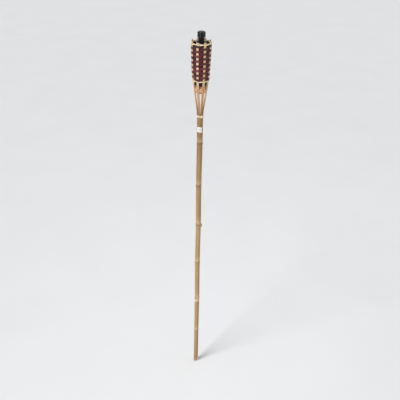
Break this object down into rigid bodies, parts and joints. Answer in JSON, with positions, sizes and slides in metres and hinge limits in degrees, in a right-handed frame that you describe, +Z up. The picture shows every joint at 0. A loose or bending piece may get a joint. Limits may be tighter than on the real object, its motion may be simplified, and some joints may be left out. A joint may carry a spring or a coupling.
{
  "type": "tiki torch",
  "caption": "Bamboo garden torch: a pole whose split top is spread and woven into a basket for a lift-out fuel can with a screwed wick holder and a snuffer cap.",
  "frame": {"origin": "centre of the pole's foot, on the ground plane under the slanted point", "axes": "+Z up along the pole to the snuffer, -Y towards the front that the label and the branch scar face, +X to the side with the branch stub"},
  "size_m": [0.0714, 0.0714, 1.5],
  "materials": {
    "bamboo_culm": "natural bamboo skin, satin",
    "bamboo_strip": "split bamboo, satin",
    "plug_wood": "turned softwood, matt",
    "pale_cane": "peeled cane, satin",
    "dyed_splint": "dyed bamboo splint, satin",
    "label_paper": "coated paper",
    "black_tin": "gloss black on tin",
    "black_metal": "gloss black",
    "tube_metal": "dull steel",
    "gasket_rubber": "matt",
    "wick_braid": "braided glass fibre"
  },
  "bodies": {
    "torch": {"pole": "bamboo_culm", "spreader_plug": "plug_wood", "neck_tie": "pale_cane", "label": "label_paper", "strip_1": "bamboo_strip", "strip_2": "bamboo_strip", "strip_3": "bamboo_strip", "strip_4": "bamboo_strip", "strip_5": "bamboo_strip", "strip_6": "bamboo_strip", "strip_7": "bamboo_strip", "strip_8": "bamboo_strip", "weft_01": "dyed_splint", "weft_02": "dyed_splint", "weft_03": "dyed_splint", "weft_04": "dyed_splint", "weft_05": "dyed_splint", "weft_06": "dyed_splint", "weft_07": "dyed_splint", "weft_08": "dyed_splint", "weft_09": "dyed_splint", "weft_10": "dyed_splint", "weft_11": "dyed_splint", "weft_12": "dyed_splint", "weft_13": "dyed_splint", "weft_14": "dyed_splint", "weft_15": "dyed_splint", "lower_cane_a": "pale_cane", "lower_cane_b": "pale_cane", "upper_cane_a": "pale_cane", "upper_cane_b": "pale_cane"},
    "can": {"can_body": "black_tin", "can_base": "black_tin", "can_lid": "black_tin"},
    "gasket": {"gasket": "gasket_rubber"},
    "wick_holder": {"collar": "black_metal", "wick_tube": "tube_metal"},
    "wick": {"wick": "wick_braid"},
    "snuffer": {"snuffer": "black_metal"}
  },
  "joints": [
    {"name": "can_lift", "type": "slide", "parent": "torch", "child": "can", "axis": [0, 0, 1], "range_m": [0, 0.16]},
    {"name": "collar_rise", "type": "slide", "parent": "can", "child": "gasket", "axis": [0, 0, 1], "range_m": [0, 0.012]},
    {"name": "collar_turn", "type": "hinge", "parent": "gasket", "child": "wick_holder", "pos_m": [0, 0, 1.476], "axis": [0, 0, 1], "range_deg": [0, 1440]},
    {"name": "wick_adjust", "type": "slide", "parent": "wick_holder", "child": "wick", "axis": [0, 0, 1], "range_m": [-0.006, 0.005]},
    {"name": "snuffer_lift", "type": "slide", "parent": "wick_holder", "child": "snuffer", "axis": [0, 0, 1], "range_m": [0, 0.045]}
  ],
  "couplings": [
    {"joint": "collar_rise", "follows": "collar_turn", "m_per_rad": 0.00047746}
  ]
}
